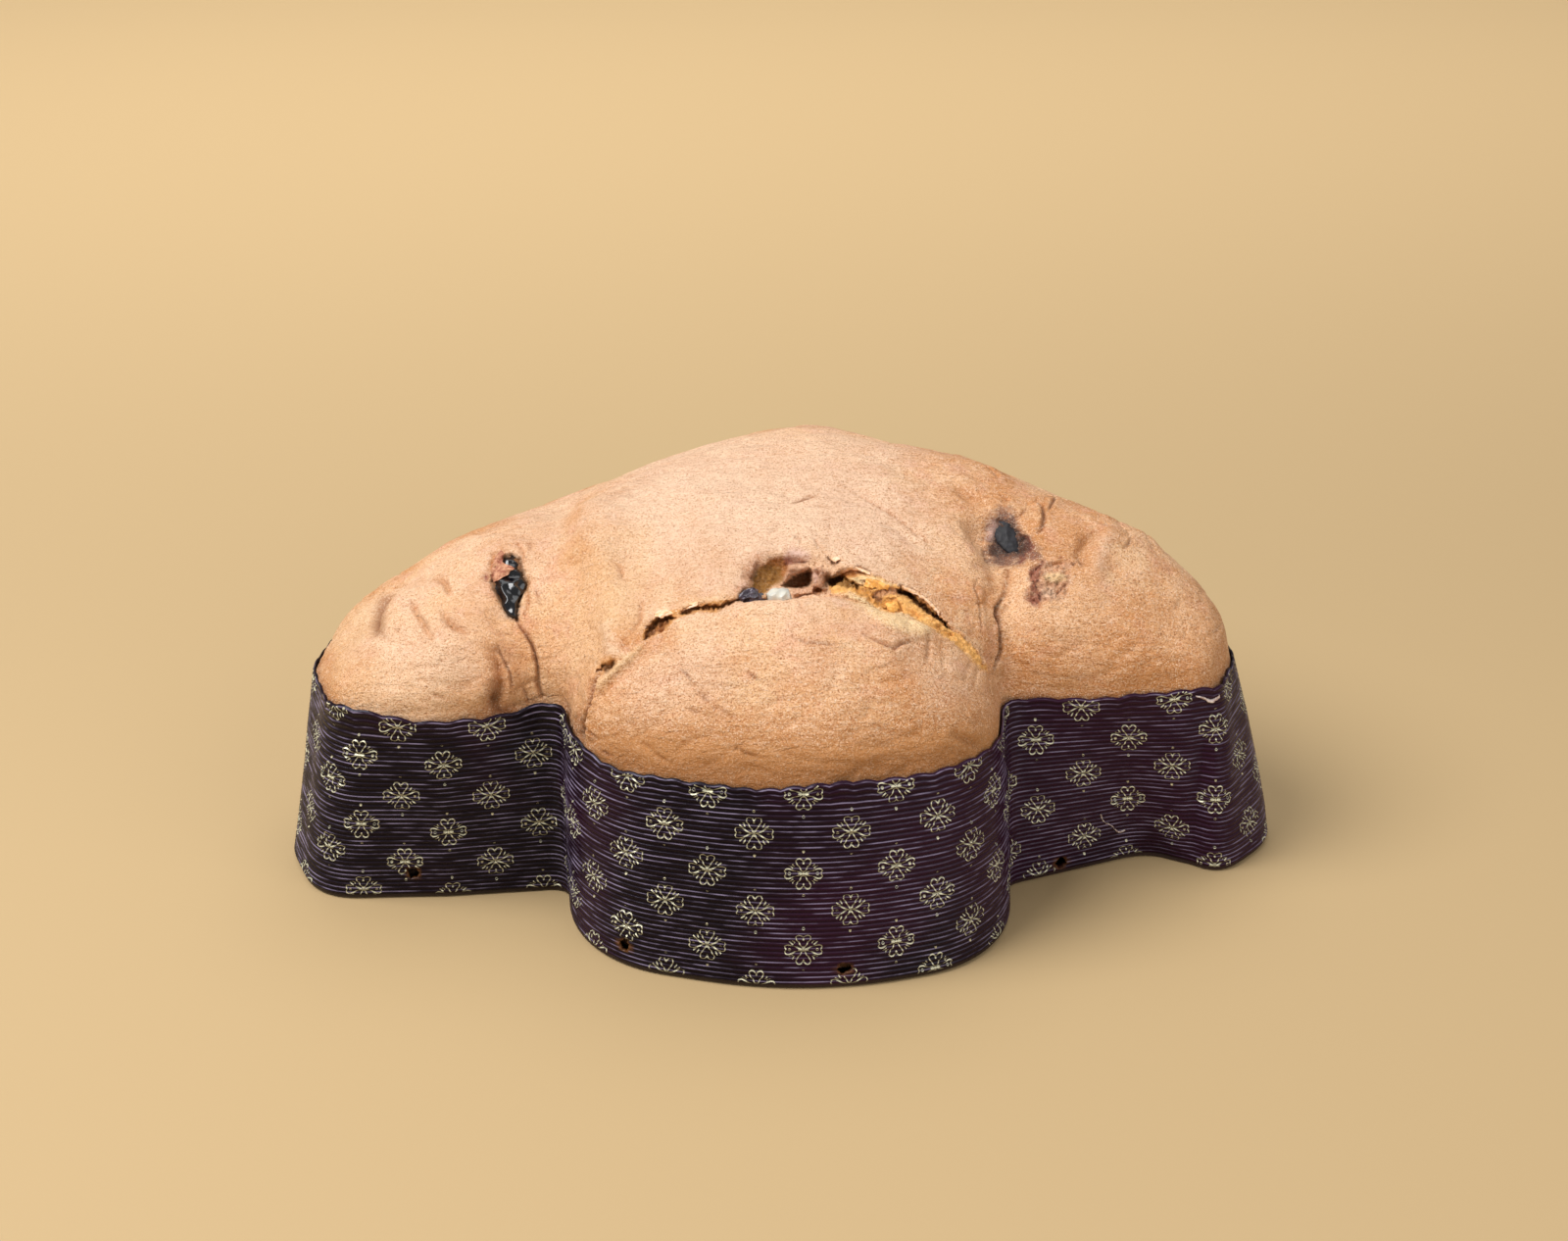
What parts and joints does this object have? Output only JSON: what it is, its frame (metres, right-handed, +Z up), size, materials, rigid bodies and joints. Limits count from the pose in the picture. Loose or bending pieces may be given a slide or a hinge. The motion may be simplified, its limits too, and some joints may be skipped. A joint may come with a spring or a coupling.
{
  "type": "colomba cake",
  "caption": "Dove-shaped Easter cake, domed and split between tail and body, in its corrugated paper baking case.",
  "frame": {"origin": "middle of the bounding box on the table plane, under the cake", "axes": "+X from wing tip to wing tip, to the right seen from the tail; +Y from the tail to the head; +Z up"},
  "size_m": [0.3098, 0.2096, 0.1159],
  "materials": {
    "case_paper": "corrugated, satin, with a pale gold print",
    "crust": "baked crust, fine grain, dull",
    "raisin": "wrinkled and glossy",
    "dried_fruit": "moist",
    "candied_peel": "moist, cloudy"
  },
  "bodies": {
    "root": {"paper_case": "case_paper", "cake": "crust", "raisin_left": "raisin", "raisin_right": "raisin", "dried_fruit": "dried_fruit", "candied_peel": "candied_peel"}
  },
  "joints": []
}
